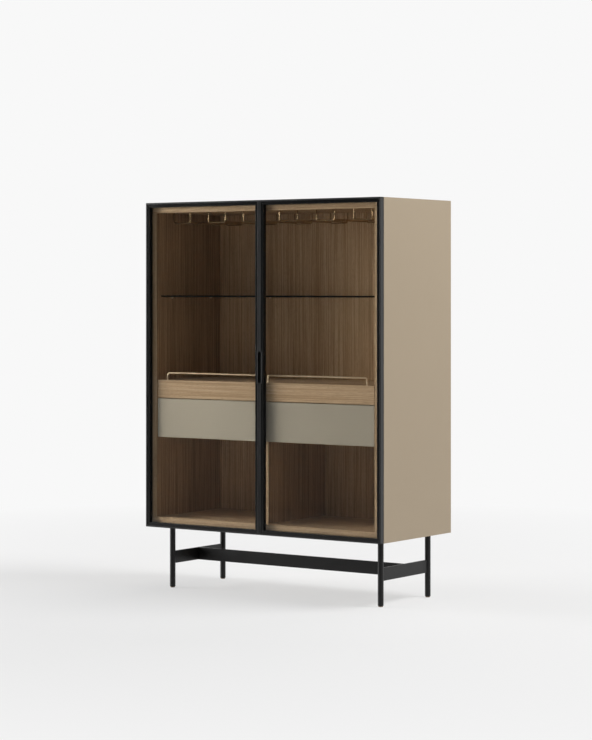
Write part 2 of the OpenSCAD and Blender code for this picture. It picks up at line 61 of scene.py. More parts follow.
NODES = frame["nodes"]
BODY_OF_NODE = {
    node: body
    for body, nodes in frame["record"]["behaviour"]["bodies"].items()
    for node in nodes
}
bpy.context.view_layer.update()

MM = 0.001
METRE = 1000 * MM
AXES = (0, 1, 2)
HALF = 0.5
SIDES = ("left", "right")

# Shaping of the meshes
WELD_DISTANCE = 0.002 * MM
FLAT_ANGLE = math.radians(0.5)
SHARP_ANGLE = math.radians(30.0)
MITRE_ANGLE = math.radians(110.0)
NEAR_CORNER = 3.0 * MM
SMALLEST_AREA = 0.01 * MM * MM
ROUNDING_TRIES = 4
ROUNDING_STEPS = 2
BEND_STEPS = 8
WIRE_SIDES = 16
LEG_SIDES = 48
GRAIN_SHIFT = 9 * METRE

# Materials and their node trees
VECTOR, TINT, NUMBER = "NodeSocketVector", "NodeSocketColor", "NodeSocketFloat"
ORIGIN = (0.0, 0.0, 0.0)
GREY = (0.5, 0.5, 0.5, 1.0)
WHITE = (1.0, 1.0, 1.0, 1.0)
NODES_IN_ROW = 8
COLUMN_WIDTH, ROW_HEIGHT = 220, 260
GLASS_REFRACTION = 1.45


# Sizes, colours and studio settings that a user would change

def length(name, description, millimetres):
    """A length property in Blender's units, with its default given in millimetres."""
    return bpy.props.FloatProperty(
        name=name,
        description=description,
        default=millimetres * MM,
        min=0.0,
        precision=5,
        unit="LENGTH",
    )


def colour(name, description, red, green, blue):
    """A colour property with its default in linear values."""
    return bpy.props.FloatVectorProperty(
        name=name,
        description=description,
        default=(red, green, blue),
        min=0.0,
        max=1.0,
        size=3,
        subtype="COLOR",
    )


def amount(name, description, default, unit="NONE", subtype="NONE"):
    """A property that holds a plain number, or one in the unit given."""
    return bpy.props.FloatProperty(
        name=name, description=description, default=default, unit=unit, subtype=subtype
    )


def location(name, description, across, deep, high):
    """A property that holds a place, with its default in metres."""
    return bpy.props.FloatVectorProperty(
        name=name,
        description=description,
        default=(across, deep, high),
        size=3,
        subtype="XYZ",
        unit="LENGTH",
    )


class CabinetFinishes(bpy.types.PropertyGroup):
    """Colours of the finishes"""
    taupe: colour("Taupe lacquer", "Lacquer of the outer panels", 0.37, 0.30, 0.215)
    grey: colour("Grey lacquer", "Lacquer of the drawer fronts", 0.465, 0.48, 0.47)
    oak_light: colour("Light oak", "Lightest tone of the front oak", 0.67, 0.55, 0.42)
    oak_middle: colour("Middle oak", "Middle tone of the front oak", 0.60, 0.475, 0.35)
    oak_dark: colour("Dark oak", "Darkest tone of the front oak", 0.48, 0.365, 0.255)
    # The lining tones are darker than the front oak: painted shade for the inside of the case.
    fumed_light: colour("Light fumed oak", "Lightest tone of the lining", 0.53, 0.385, 0.265)
    shaded_oak_middle: colour("Middle oak with painted shade", "Middle tone of the lining", 0.42, 0.295, 0.196)
    shaded_oak_dark: colour("Dark oak with painted shade", "Darkest tone of the lining", 0.265, 0.178, 0.113)
    # The back tones are lighter than the lining: painted light on the back wall.
    back_light: colour("Light oak of the back", "Lightest tone of the back", 0.71, 0.55, 0.405)
    lit_back_oak_middle: colour("Middle oak of the back", "Middle tone of the back", 0.62, 0.462, 0.325)
    lit_back_oak_dark: colour("Dark oak of the back", "Darkest tone of the back", 0.45, 0.322, 0.215)
    smoked_glass: colour("Smoked glass", "Tint of the door glass", 0.84, 0.79, 0.71)
    shelf_glass: colour("Shelf glass", "Tint of the shelf", 0.93, 0.96, 0.94)
    # The shelf's near-black edge is painted shade for the dark look of a glass edge.
    shelf_edge: colour("Shelf edge", "Near-black edge of the shelf, painted shade", 0.003, 0.0036, 0.0032)
    aluminium: colour("Black aluminium", "Anodised frame of the doors", 0.004, 0.004, 0.0038)
    steel: colour("Black steel", "Powder coat of the base", 0.0045, 0.0044, 0.0043)
    brass: colour("Brass", "Gallery rails and shelf pins", 0.90, 0.83, 0.70)
    # The hanger wire is the brass darkened as painted shade.
    bronze: colour("Bronze", "Stemware hangers", 0.56, 0.45, 0.31)
    zinc: colour("Zinc", "Runners, screws and corner keys", 0.52, 0.53, 0.54)
    rubber: colour("Black rubber", "Seals and finger pulls", 0.008, 0.008, 0.008)
    felt: colour("Felt", "Pads of the leg glides", 0.30, 0.22, 0.15)


class CabinetSizes(bpy.types.PropertyGroup):
    """Sizes of the rounded edges, the veneer and the wires"""
    panel_edge: length("Panel edge", "Rounding of the lacquered edges", 0.5)
    board_edge: length("Board edge", "Rounding of the oak edges", 0.6)
    metal_edge: length("Metal edge", "Rounding of the metal edges", 0.3)
    frame_edge: length("Frame edge", "Rounding of the edges of the door frames", 0.4)
    glass_edge: length("Glass edge", "Polished bevel of the glass edges", 0.7)
    leaf_width: length("Veneer leaf", "Width of one leaf of the oak veneer", 155)
    hanger_width: length("Hanger width", "Distance between the posts of a hanger", 75)
    hanger_bend: length("Hanger bend", "Bend of the hanger wire", 10)
    hanger_wire: length("Hanger wire", "Diameter of the hanger wire", 4)
    gallery_bend: length("Gallery bend", "Bend of the gallery rail", 10)
    gallery_wire: length("Gallery rail", "Diameter of the gallery rail", 6)
    foot_chamfer: length("Foot chamfer", "Chamfer at the foot of a leg", 1)


class CabinetStudio(bpy.types.PropertyGroup):
    """Settings of the floor, the lamps and the camera"""
    floor: colour("Floor", "Light that the floor throws back", 0.80, 0.80, 0.80)
    shaded_floor: colour("Shaded floor", "Colour of the floor as it is seen", 0.66, 0.66, 0.66)
    backdrop: amount("Backdrop", "Brightness of the backdrop", 0.939)
    sky: amount("Soft light", "Light from all round", 0.15)
    floor_glow: amount("Floor glow", "How far the floor's shadows are lifted", 0.57)
    dark_side: amount("Dark side", "What gloss shows of the room behind the camera", 0.03)
    dark_floor: amount("Dark floor", "What gloss shows of the floor near the camera", 0.13)
    key: amount("Key light", "Watts of the low key light at the left", 320.0, "POWER")
    key_place: location("Key place", "Where the key light hangs", -4.93, -1.99, 1.64)
    key_width: length("Key width", "Width of the key light", 2800)
    fill: amount("Fill light", "Watts of the high light at the right", 300.0, "POWER")
    fill_place: location("Fill place", "Where the high light hangs", 3.36, 1.09, 4.91)
    fill_width: length("Fill width", "Width of the high light", 3000)
    back: amount("Back light", "Watts of the light behind", 50.0, "POWER")
    back_place: location("Back place", "Where the light behind hangs", 0.0, 3.44, 3.11)
    back_width: length("Back width", "Width of the light behind", 2400)
    lamp_target: location("Lamp target", "Where the lamps are aimed", 0.0, 0.0, 0.7)
    camera_place: location("Camera place", "Where the camera stands", 4.6746, -6.6545, 1.0710)
    camera_turn: amount("Camera turn", "How far the camera is turned to the left",
                        math.radians(35.10), subtype="ANGLE")
    camera_lens: amount("Lens", "Focal length in millimetres", 112.06, "CAMERA")
    camera_rise: amount("Rise", "Vertical shift of the camera", -0.1095)


# Building node trees

def set_inputs(tree, node, inputs):
    """Links or sets the inputs of a node."""
    for name, value in inputs.items():
        if isinstance(value, bpy.types.NodeSocket):
            tree.links.new(value, node.inputs[name])
        else:
            node.inputs[name].default_value = value


def place(tree, kind, inputs=None, **settings):
    """Adds a node in the next free place, sets it up, and links or sets its inputs."""
    node = tree.nodes.new(kind)
    row, column = divmod(len(tree.nodes), NODES_IN_ROW)
    node.location = (column * COLUMN_WIDTH, row * -ROW_HEIGHT)
    for name, value in settings.items():
        setattr(node, name, value)
    set_inputs(tree, node, inputs or {})
    return node


def calc(tree, operation, *values):
    """Result of a math node."""
    return place(tree, "ShaderNodeMath", dict(enumerate(values)), operation=operation).outputs[0]


def vector_calc(tree, operation, *values):
    """Result of a vector math node."""
    node = place(tree, "ShaderNodeVectorMath", dict(enumerate(values)), operation=operation)
    return node.outputs[0]


def remap(tree, value, low, high, to_low=0.0, to_high=1.0):
    """Value brought from one range to another and kept within it."""
    inputs = {"Value": value, "From Min": low, "From Max": high, "To Min": to_low, "To Max": to_high}
    return place(tree, "ShaderNodeMapRange", inputs).outputs["Result"]


def noise(tree, position, per_metre, detail=2.0):
    """Noise with so many features to the metre along each axis."""
    scaled = vector_calc(tree, "MULTIPLY", position, per_metre)
    inputs = {"Vector": scaled, "Scale": 1.0, "Detail": detail}
    return place(tree, "ShaderNodeTexNoise", inputs).outputs[0]


def from_middle(tree, value):
    """A value from 0 to 1 counted from its middle, so that it swings both ways."""
    return calc(tree, "SUBTRACT", value, HALF)


def mix_colours(tree, factor, first, second):
    """Two colours mixed."""
    inputs = {0: factor, 6: first, 7: second}
    return place(tree, "ShaderNodeMix", inputs, data_type="RGBA").outputs[2]


def scale_colour(tree, tint, factor):
    """Colour made lighter or darker by a factor."""
    node = place(tree, "ShaderNodeVectorMath", {0: tint, "Scale": factor}, operation="SCALE")
    return node.outputs[0]


def new_group(name, inputs):
    """An empty group with these inputs that puts out colour, roughness and height."""
    group = bpy.data.node_groups.new(name, "ShaderNodeTree")
    for title, kind, default in inputs:
        socket = group.interface.new_socket(title, in_out="INPUT", socket_type=kind)
        socket.default_value = default
    group.interface.new_socket("Color", in_out="OUTPUT", socket_type="NodeSocketColor")
    for title in ("Roughness", "Height"):
        group.interface.new_socket(title, in_out="OUTPUT", socket_type="NodeSocketFloat")
    return group, group.nodes.new("NodeGroupInput").outputs, group.nodes.new("NodeGroupOutput")


def close_group(group, output, tint, roughness, height):
    """Links the three results of a surface group."""
    for title, value in (("Color", tint), ("Roughness", roughness), ("Height", height)):
        group.links.new(value, output.inputs[title])


def wood_grain_group():
    """Oak veneer: leaves side by side, streaks along the grain, fibres and pores."""
    sway_scale = (1.6, 11.0, 11.0)
    broad_scale = (0.9, 30.0, 30.0)
    streak_scale = (1.8, 300.0, 300.0)
    fibre_scale = (8.0, 640.0, 640.0)
    pore_scale = (75.0, 2300.0, 2300.0)
    broad_share, streak_share, fibre_share = 0.12, 0.56, 0.32
    darkest_tone, lightest_tone = 0.41, 0.59
    pore_start, pore_full = 0.60, 0.70
    pore_shade, pore_roughness = 0.66, 0.16
    fibre_height = 0.5
    leaf_shade, leaf_light = 0.93, 1.06
    leaf_slip = 7 * METRE
    sway_width = 12 * MM
    group, given, output = new_group("Wood Grain", [
        ("Grain Position", VECTOR, ORIGIN),
        ("Light", TINT, GREY),
        ("Middle", TINT, GREY),
        ("Dark", TINT, GREY),
        ("Leaf Width", NUMBER, 150 * MM),
        ("Roughness", NUMBER, 0.5),
    ])
    axes = place(group, "ShaderNodeSeparateXYZ", {0: given["Grain Position"]}).outputs
    leaf = calc(group, "FLOOR", calc(group, "DIVIDE", axes["Y"], given["Leaf Width"]))
    leaf_noise = place(group, "ShaderNodeTexWhiteNoise", {"W": leaf}, noise_dimensions="1D").outputs
    slip = calc(group, "MULTIPLY", leaf_noise["Value"], leaf_slip)
    sway = from_middle(group, noise(group, given["Grain Position"], sway_scale))
    across = calc(group, "MULTIPLY_ADD", sway, sway_width, axes["Y"])
    along = calc(group, "ADD", axes["X"], slip)
    fibre = place(group, "ShaderNodeCombineXYZ", {0: along, 1: across, 2: axes["Z"]}).outputs[0]
    broad = noise(group, fibre, broad_scale, detail=1.0)
    streaks = noise(group, fibre, streak_scale, detail=1.0)
    fibres = noise(group, fibre, fibre_scale, detail=1.0)
    pores = remap(group, noise(group, fibre, pore_scale, detail=0.0), pore_start, pore_full)
    tone = calc(group, "MULTIPLY", streaks, streak_share)
    tone = calc(group, "MULTIPLY_ADD", broad, broad_share, tone)
    tone = calc(group, "MULTIPLY_ADD", fibres, fibre_share, tone)
    tone = remap(group, tone, darkest_tone, lightest_tone)
    low = remap(group, tone, 0.0, HALF)
    high = remap(group, tone, HALF, 1.0)
    tint = mix_colours(group, low, given["Dark"], given["Middle"])
    tint = mix_colours(group, high, tint, given["Light"])
    leaf_tone = remap(group, leaf_noise["Value"], 0.0, 1.0, leaf_shade, leaf_light)
    tint = scale_colour(group, tint, leaf_tone)
    tint = scale_colour(group, tint, remap(group, pores, 0.0, 1.0, 1.0, pore_shade))
    roughness = calc(group, "MULTIPLY_ADD", pores, pore_roughness, given["Roughness"])
    height = calc(group, "SUBTRACT", calc(group, "MULTIPLY", fibres, fibre_height), pores)
    close_group(group, output, tint, roughness, height)
    return group


def fine_surface_group():
    """Sprayed, moulded or pressed surface: soft tone changes and a fine peel or pile."""
    cloud_scale = (3.0, 3.0, 3.0)
    rub_scale = (19.0, 19.0, 23.0)
    cloud_detail, rub_detail = 3.0, 4.0
    rub_roughness = 0.14
    group, given, output = new_group("Fine Surface", [
        ("Position", VECTOR, ORIGIN),
        ("Color", TINT, GREY),
        ("Peel Per Metre", NUMBER, 700.0),
        ("Mottle", NUMBER, 0.03),
        ("Roughness", NUMBER, 0.5),
    ])
    peel_scale = place(group, "ShaderNodeCombineXYZ", {
        axis: given["Peel Per Metre"] for axis in AXES
    }).outputs[0]
    peel = noise(group, given["Position"], peel_scale)
    cloud = from_middle(group, noise(group, given["Position"], cloud_scale, cloud_detail))
    rub = from_middle(group, noise(group, given["Position"], rub_scale, rub_detail))
    shade = calc(group, "MULTIPLY_ADD", cloud, given["Mottle"], 1.0)
    shade = calc(group, "MULTIPLY_ADD", from_middle(group, peel), given["Mottle"], shade)
    tint = scale_colour(group, given["Color"], shade)
    roughness = calc(group, "MULTIPLY_ADD", rub, rub_roughness, given["Roughness"])
    close_group(group, output, tint, roughness, peel)
    return group


def brushed_surface_group():
    """Brushed metal: fine lines along the piece, with soft patches of handling."""
    line_scale = (14.0, 2600.0, 2600.0)
    patch_scale = (9.0, 30.0, 30.0)
    patch_roughness = 0.10
    group, given, output = new_group("Brushed Surface", [
        ("Grain Position", VECTOR, ORIGIN),
        ("Color", TINT, GREY),
        ("Contrast", NUMBER, 0.12),
        ("Roughness", NUMBER, 0.3),
    ])
    lines = noise(group, given["Grain Position"], line_scale, detail=1.0)
    patches = from_middle(group, noise(group, given["Grain Position"], patch_scale))
    streak = from_middle(group, lines)
    shade = calc(group, "MULTIPLY_ADD", streak, given["Contrast"], 1.0)
    tint = scale_colour(group, given["Color"], shade)
    roughness = calc(group, "MULTIPLY_ADD", patches, patch_roughness, given["Roughness"])
    roughness = calc(group, "MULTIPLY_ADD", streak, given["Contrast"], roughness)
    close_group(group, output, tint, roughness, lines)
    return group


GROUP_MAKERS = {
    "Wood Grain": wood_grain_group,
    "Fine Surface": fine_surface_group,
    "Brushed Surface": brushed_surface_group,
}


def group_node(tree, name, inputs):
    """Places a node group, which is built the first time it is asked for."""
    group = bpy.data.node_groups.get(name) or GROUP_MAKERS[name]()
    return place(tree, "ShaderNodeGroup", inputs, node_tree=group).outputs


# Materials

def opaque(tint):
    """A colour with full alpha."""
    return (*tint, 1.0)


def surface_material(name, group, inputs, depth, metallic=0.0, by_grain=False, gloss=0.5):
    """A solid finish whose colour, roughness and bump come from one surface group."""
    found = bpy.data.materials.get(name)
    if found:
        return found
    material = bpy.data.materials.new(name)
    material.use_nodes = True
    tree = material.node_tree
    shader = tree.nodes["Principled BSDF"]
    if by_grain:
        place_name = "Grain Position"
        where = place(tree, "ShaderNodeAttribute", attribute_name="grain").outputs["Vector"]
    else:
        place_name = "Position"
        where = place(tree, "ShaderNodeTexCoord").outputs["Object"]
    results = group_node(tree, group, {place_name: where, **inputs})
    bump = place(tree, "ShaderNodeBump", {"Distance": depth, "Height": results["Height"]})
    tree.links.new(results["Color"], shader.inputs["Base Color"])
    tree.links.new(results["Roughness"], shader.inputs["Roughness"])
    tree.links.new(bump.outputs["Normal"], shader.inputs["Normal"])
    shader.inputs["Metallic"].default_value = metallic
    shader.inputs["Specular IOR Level"].default_value = gloss
    return material


def fine_material(name, tint, peel, mottle, roughness, depth, gloss=0.5):
    """A finish with a fine texture all over, such as lacquer, powder coat or felt."""
    return surface_material(name, "Fine Surface", {
        "Color": opaque(tint),
        "Peel Per Metre": peel,
        "Mottle": mottle,
        "Roughness": roughness,
    }, depth, gloss=gloss)


def brushed_material(name, tint, contrast, roughness, depth=0.01 * MM, metallic=1.0):
    """A metal finish, brushed along the piece."""
    return surface_material(name, "Brushed Surface", {
        "Color": opaque(tint),
        "Contrast": contrast,
        "Roughness": roughness,
    }, depth, metallic=metallic, by_grain=True)


def wood_material(context, name, light, centre, dark):
    """Matt lacquered oak veneer in three tones."""
    return surface_material(name, "Wood Grain", {
        "Light": opaque(light),
        "Middle": opaque(centre),
        "Dark": opaque(dark),
        "Leaf Width": context.scene.cabinet_sizes.leaf_width,
        "Roughness": 0.55,
    }, depth=0.06 * MM, by_grain=True, gloss=0.3)


def oak_material(context):
    """Natural oak of the fronts, the trays and the front edges."""
    finishes = context.scene.cabinet_finishes
    return wood_material(
        context, "Oak veneer", finishes.oak_light, finishes.oak_middle, finishes.oak_dark
    )


def shaded_oak_material(context):
    """Oak of the ceiling, the walls and the divider, darkened as painted shade inside the case."""
    finishes = context.scene.cabinet_finishes
    return wood_material(
        context, "Fumed oak veneer", finishes.fumed_light, finishes.shaded_oak_middle, finishes.shaded_oak_dark
    )


def lit_back_oak_material(context):
    """Oak of the back, lighter than the lining as painted light on the back wall."""
    finishes = context.scene.cabinet_finishes
    return wood_material(
        context, "Back oak veneer", finishes.back_light, finishes.lit_back_oak_middle, finishes.lit_back_oak_dark
    )


def lacquer_material(name, tint, mottle, gloss):
    """Satin sprayed lacquer."""
    return fine_material(
        name, tint, peel=520.0, mottle=mottle, roughness=0.46, depth=0.02 * MM, gloss=gloss
    )


def aluminium_material(context, name, roughness):
    """Black anodised aluminium, brushed along the profile."""
    return brushed_material(
        name, context.scene.cabinet_finishes.aluminium,
        contrast=0.12, roughness=roughness, depth=0.008 * MM, metallic=0.0,
    )


def steel_material(context):
    """Fine textured black powder coat."""
    return fine_material(
        "Black steel", context.scene.cabinet_finishes.steel,
        peel=1500.0, mottle=0.25, roughness=0.36, depth=0.05 * MM, gloss=0.34,
    )


def brass_material(context):
    """Pale brushed brass."""
    return brushed_material(
        "Brushed brass", context.scene.cabinet_finishes.brass, contrast=0.16, roughness=0.36
    )


def shaded_brass_material(context):
    """Polished brass wire of the hangers, darkened as painted shade in the upper case."""
    return brushed_material(
        "Dark bronze", context.scene.cabinet_finishes.bronze, contrast=0.06, roughness=0.2
    )


def zinc_material(context):
    """Zinc plated steel."""
    return brushed_material(
        "Zinc plated steel", context.scene.cabinet_finishes.zinc, contrast=0.2, roughness=0.38
    )


def rubber_material(context):
    """Matt black rubber."""
    return fine_material(
        "Black rubber", context.scene.cabinet_finishes.rubber,
        peel=1900.0, mottle=0.2, roughness=0.66, depth=0.04 * MM,
    )


def felt_material(context):
    """Pressed felt."""
    return fine_material(
        "Felt", context.scene.cabinet_finishes.felt,
        peel=2400.0, mottle=0.6, roughness=0.95, depth=0.4 * MM,
    )


def shaded_shelf_edge_material(context):
    """Near-black polished edge of the glass shelf, painted shade for how dark a glass edge looks."""
    return fine_material(
        "Shelf edge", context.scene.cabinet_finishes.shelf_edge,
        peel=60.0, mottle=0.2, roughness=0.14, depth=0.005 * MM,
    )


def glass_material(name, tint, smear):
    """Tinted glass that lets the lamps through to what stands behind it."""
    found = bpy.data.materials.get(name)
    if found:
        return found
    material = bpy.data.materials.new(name)
    material.use_nodes = True
    tree = material.node_tree
    shader = tree.nodes["Principled BSDF"]
    where = place(tree, "ShaderNodeTexCoord").outputs["Object"]
    results = group_node(tree, "Fine Surface", {
        "Position": where,
        "Color": opaque(tint),
        "Peel Per Metre": 4.0,
        "Mottle": smear,
    })
    tree.links.new(results["Color"], shader.inputs["Base Color"])
    shader.inputs["Roughness"].default_value = 0.0
    shader.inputs["IOR"].default_value = GLASS_REFRACTION
    shader.inputs["Transmission Weight"].default_value = 1.0
    clear = place(tree, "ShaderNodeBsdfTransparent", {"Color": opaque(tint)})
    rays = place(tree, "ShaderNodeLightPath")
    mixed = place(tree, "ShaderNodeMixShader", {
        0: rays.outputs["Is Shadow Ray"],
        1: shader.outputs["BSDF"],
        2: clear.outputs["BSDF"],
    })
    tree.links.new(mixed.outputs[0], tree.nodes["Material Output"].inputs["Surface"])
    return material


# Meshes

def new_piece(name, mesh):
    """A new object of the scene with this mesh."""
    piece = bpy.data.objects.new(name, mesh)
    bpy.context.scene.collection.objects.link(piece)
    return piece


def piece_from(name, mesh_maker, *values):
    """A new object whose mesh is drawn by a function that fills a bmesh."""
    bm = bmesh.new()
    mesh_maker(bm, *values)
    bmesh.ops.recalc_face_normals(bm, faces=bm.faces)
    mesh = bpy.data.meshes.new(name)
    bm.to_mesh(mesh)
    bm.free()
    return new_piece(name, mesh)


def node_copy(node, name):
    """A copy of a CAD node's solid, with its flat faces made whole again."""
    source = NODES[node].data
    mesh = bpy.data.meshes.new(name)
    mesh.from_pydata(
        [tuple(vertex.co) for vertex in source.vertices],
        [],
        [tuple(face.vertices) for face in source.polygons],
    )
    bm = bmesh.new()
    bm.from_mesh(mesh)
    bmesh.ops.remove_doubles(bm, verts=bm.verts, dist=WELD_DISTANCE)
    bmesh.ops.dissolve_limit(bm, angle_limit=FLAT_ANGLE, verts=bm.verts, edges=bm.edges)
    bm.to_mesh(mesh)
    bm.free()
    return new_piece(name, mesh)


def apply_modifiers(piece):
    """Turns what the modifiers make of a piece into its mesh."""
    ready = piece.evaluated_get(bpy.context.evaluated_depsgraph_get())
    mesh = bpy.data.meshes.new_from_object(ready)
    piece.modifiers.clear()
    piece.data = mesh


def round_edges(piece, edge, spared):
    """Rounds the sharp edges of a piece, but not those that end by a spared corner."""
    bm = bmesh.new()
    bm.from_mesh(piece.data)
    weight = bm.edges.layers.float.new("bevel_weight_edge")
    for line in bm.edges:
        if not line.is_manifold or line.calc_face_angle() < SHARP_ANGLE:
            continue
        mitred = line.calc_face_angle() > MITRE_ANGLE
        tight = spared and any(spared.find(end.co)[2] < NEAR_CORNER for end in line.verts)
        if line.is_convex and not mitred and not tight:
            line[weight] = 1.0
        else:
            line.smooth = False
    for face in bm.faces:
        face.smooth = True
    bm.to_mesh(piece.data)
    bm.free()
    bevel = piece.modifiers.new("Soft edges", "BEVEL")
    bevel.width = edge
    bevel.segments = ROUNDING_STEPS
    bevel.limit_method = "WEIGHT"
    bevel.harden_normals = True
    bevel.use_clamp_overlap = False
    apply_modifiers(piece)


def crossed_corners(mesh):
    """Corners where a rounding made a face cross itself, so that part of it shows its back."""
    mesh.calc_loop_triangles()
    corners = []
    for triangle in mesh.loop_triangles:
        first, second, third = (mesh.vertices[index].co for index in triangle.vertices)
        turned = (second - first).cross(third - first)
        if turned.dot(mesh.polygons[triangle.polygon_index].normal) < -SMALLEST_AREA:
            corners.extend((first.copy(), second.copy(), third.copy()))
    return corners


def corner_tree(corners):
    """A search tree of corners, or None where there are none."""
    if not corners:
        return None
    tree = KDTree(len(corners))
    for index, corner in enumerate(corners):
        tree.insert(corner, index)
    tree.balance()
    return tree


def soften(piece, edge, node):
    """Rounds the edges of a piece, as sanding, spraying or polishing leaves them.

    Where a rounding doesn't fit beside a notch, the edges at that corner stay sharp.
    """
    sharp = piece.data.copy()
    corners = []
    for _ in range(ROUNDING_TRIES):
        piece.data = sharp.copy()
        round_edges(piece, edge, corner_tree(corners))
        keep_within(piece, node)
        found = crossed_corners(piece.data)
        if not found:
            break
        corners.extend(found)


def smooth_round(piece):
    """Shades the round faces of a piece smooth and keeps its ends crisp."""
    for face in piece.data.polygons:
        face.use_smooth = True
    piece.data.set_sharp_from_angle(angle=SHARP_ANGLE)


def islands(mesh):
    """Lists the vertices of each separate solid of a mesh."""
    parent = list(range(len(mesh.vertices)))

    def root(index):
        """The vertex that stands for the whole solid."""
        while parent[index] != index:
            parent[index] = parent[parent[index]]
            index = parent[index]
        return index

    for edge in mesh.edges:
        first, second = (root(index) for index in edge.vertices)
        parent[first] = second
    found = {}
    for index in range(len(parent)):
        found.setdefault(root(index), []).append(index)
    return list(found.values())


def keep_within(piece, node):
    """Draws in any point that a rounded edge pushed out of the node's box."""
    low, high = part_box(node)
    for vertex in piece.data.vertices:
        for axis in AXES:
            vertex.co[axis] = min(max(vertex.co[axis], low[axis]), high[axis])


def mark_grain(piece, along=None):
    """Stores where every point lies along, across and through its board or bar."""
    mesh = piece.data
    values = [0.0] * (len(AXES) * len(mesh.vertices))
    chance = random.Random(piece.name)
    for island in islands(mesh):
        places = [mesh.vertices[index].co for index in island]
        spans = []
        for axis in AXES:
            spread = [spot[axis] for spot in places]
            spans.append(max(spread) - min(spread))
        order = sorted(AXES, key=lambda axis: -spans[axis])
        if along is not None:
            order.remove(along)
            order.insert(0, along)
        shift = [chance.uniform(0.0, GRAIN_SHIFT) for _ in AXES]
        for index, spot in zip(island, places):
            for slot, axis in enumerate(order):
                values[len(AXES) * index + slot] = spot[axis] + shift[slot]
    mesh.attributes.new("grain", "FLOAT_VECTOR", "POINT").data.foreach_set("vector", values)


def seat(piece, material, slot, *nodes):
    """Finishes a piece: its material, its body and the nodes that it stands for, which it hides; its
    slot is not used.
    """
    piece.data.materials.clear()
    piece.data.materials.append(material)
    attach(piece, BODY_OF_NODE[nodes[0]])
    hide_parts(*nodes)
    return piece


def dress(node, material, slot, edge, along=None):
    """Stands a softened and finished copy of a CAD node in its place."""
    piece = node_copy(node, f"{node}.finished")
    soften(piece, edge, node)
    mark_grain(piece, along)
    return seat(piece, material, slot, node)


def middle(node):
    """Middle of a CAD node's box."""
    low, high = (Vector(corner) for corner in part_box(node))
    return (low + high) * HALF


def arc(centre, radius, start, end, side):
    """Points of a bend about a centre in the plane across the side vector."""
    up = Vector((0, 0, 1))
    out = side.cross(up)
    points = []
    for step in range(BEND_STEPS + 1):
        angle = start + (end - start) * step / BEND_STEPS
        points.append(centre + out * (radius * math.cos(angle)) + up * (radius * math.sin(angle)))
    return points


def join_rings(bm, first, second):
    """Skins the space between two rings of points."""
    for step in range(len(first)):
        beside = (step + 1) % len(first)
        bm.faces.new((first[step], first[beside], second[beside], second[step]))


def sweep(bm, points, radius, side):
    """Sweeps a round wire along points that lie in the plane across the side vector."""
    rings = []
    for index, point in enumerate(points):
        before = points[max(index - 1, 0)]
        after = points[min(index + 1, len(points) - 1)]
        out = (after - before).normalized().cross(side)
        ring = []
        for step in range(WIRE_SIDES):
            angle = 2 * math.pi * step / WIRE_SIDES
            ring.append(bm.verts.new(
                point + side * (radius * math.cos(angle)) + out * (radius * math.sin(angle))
            ))
        rings.append(ring)
    for ring, following in zip(rings, rings[1:]):
        join_rings(bm, ring, following)
    bm.faces.new(rings[0])
    bm.faces.new(rings[-1])


def hoop(bm, left, right, low, high, depth, bend, radius):
    """A wire that runs along its low or high bar and turns round into two posts."""
    side = Vector((0, 1, 0))
    quarter = math.pi / 2
    toward = 1 if high > low else -1
    height = low + toward * bend
    points = [Vector((left, depth, high))]
    points += arc(Vector((left + bend, depth, height)), bend,
                  math.pi, math.pi + toward * quarter, side)
    points += arc(Vector((right - bend, depth, height)), bend,
                  -toward * quarter, 0.0, side)
    points.append(Vector((right, depth, high)))
    sweep(bm, points, radius, side)


def lathe(bm, centre, profile):
    """Turns a closed profile of radius and height pairs about an upright axis."""
    rings = []
    for radius, height in profile:
        ring = []
        for step in range(LEG_SIDES):
            angle = 2 * math.pi * step / LEG_SIDES
            ring.append(bm.verts.new((
                centre[0] + radius * math.cos(angle),
                centre[1] + radius * math.sin(angle),
                height,
            )))
        rings.append(ring)
    for ring, following in zip(rings, rings[1:] + rings[:1]):
        join_rings(bm, ring, following)


# Steps of the build

class CabinetOperator:
    """What all the operators share."""
    bl_options = {"REGISTER", "UNDO"}


class DressCase(CabinetOperator, bpy.types.Operator):
    """Lacquers the outer panels and the rear panel"""
    bl_idname = "cabinet.dress_case"
    bl_label = "Dress case"

    def execute(self, context):
        finishes = context.scene.cabinet_finishes
        edge = context.scene.cabinet_sizes.panel_edge
        taupe = lacquer_material("Taupe lacquer", finishes.taupe, mottle=0.035, gloss=0.2)
        for panel in ("outer_top", "outer_bottom", "outer_left_side", "outer_right_side", "rear_panel"):
            dress(panel, taupe, "taupe_lacquer", edge)
        return {"FINISHED"}


class LineCase(CabinetOperator, bpy.types.Operator):
    """Lines the case with oak and stands the divider in it"""
    bl_idname = "cabinet.line_case"
    bl_label = "Line case"

    def execute(self, context):
        oak = oak_material(context)
        shaded_oak = shaded_oak_material(context)
        edge = context.scene.cabinet_sizes.board_edge
        upright = AXES[-1]
        dress("oak_floor", oak, "oak_veneer", edge)
        dress("oak_back", lit_back_oak_material(context), "oak_veneer", edge, along=upright)
        # The ceiling, walls and divider take the oak with painted shade; their front edges keep the
        # natural oak.
        lining = [dress("oak_ceiling", shaded_oak, "oak_veneer", edge)]
        for node in ("oak_left_wall", "oak_right_wall", "lower_divider"):
            lining.append(dress(node, shaded_oak, "oak_veneer", edge, along=upright))
        for board in lining:
            self.band_front_edge(board, oak)
        return {"FINISHED"}

    def band_front_edge(self, board, oak):
        """Gives the front edge of a lining board its band of natural oak; its other faces carry the
        painted shade.
        """
        board.data.materials.append(oak)
        facing = -0.9
        for face in board.data.polygons:
            face.material_index = 1 if face.normal.y < facing else 0


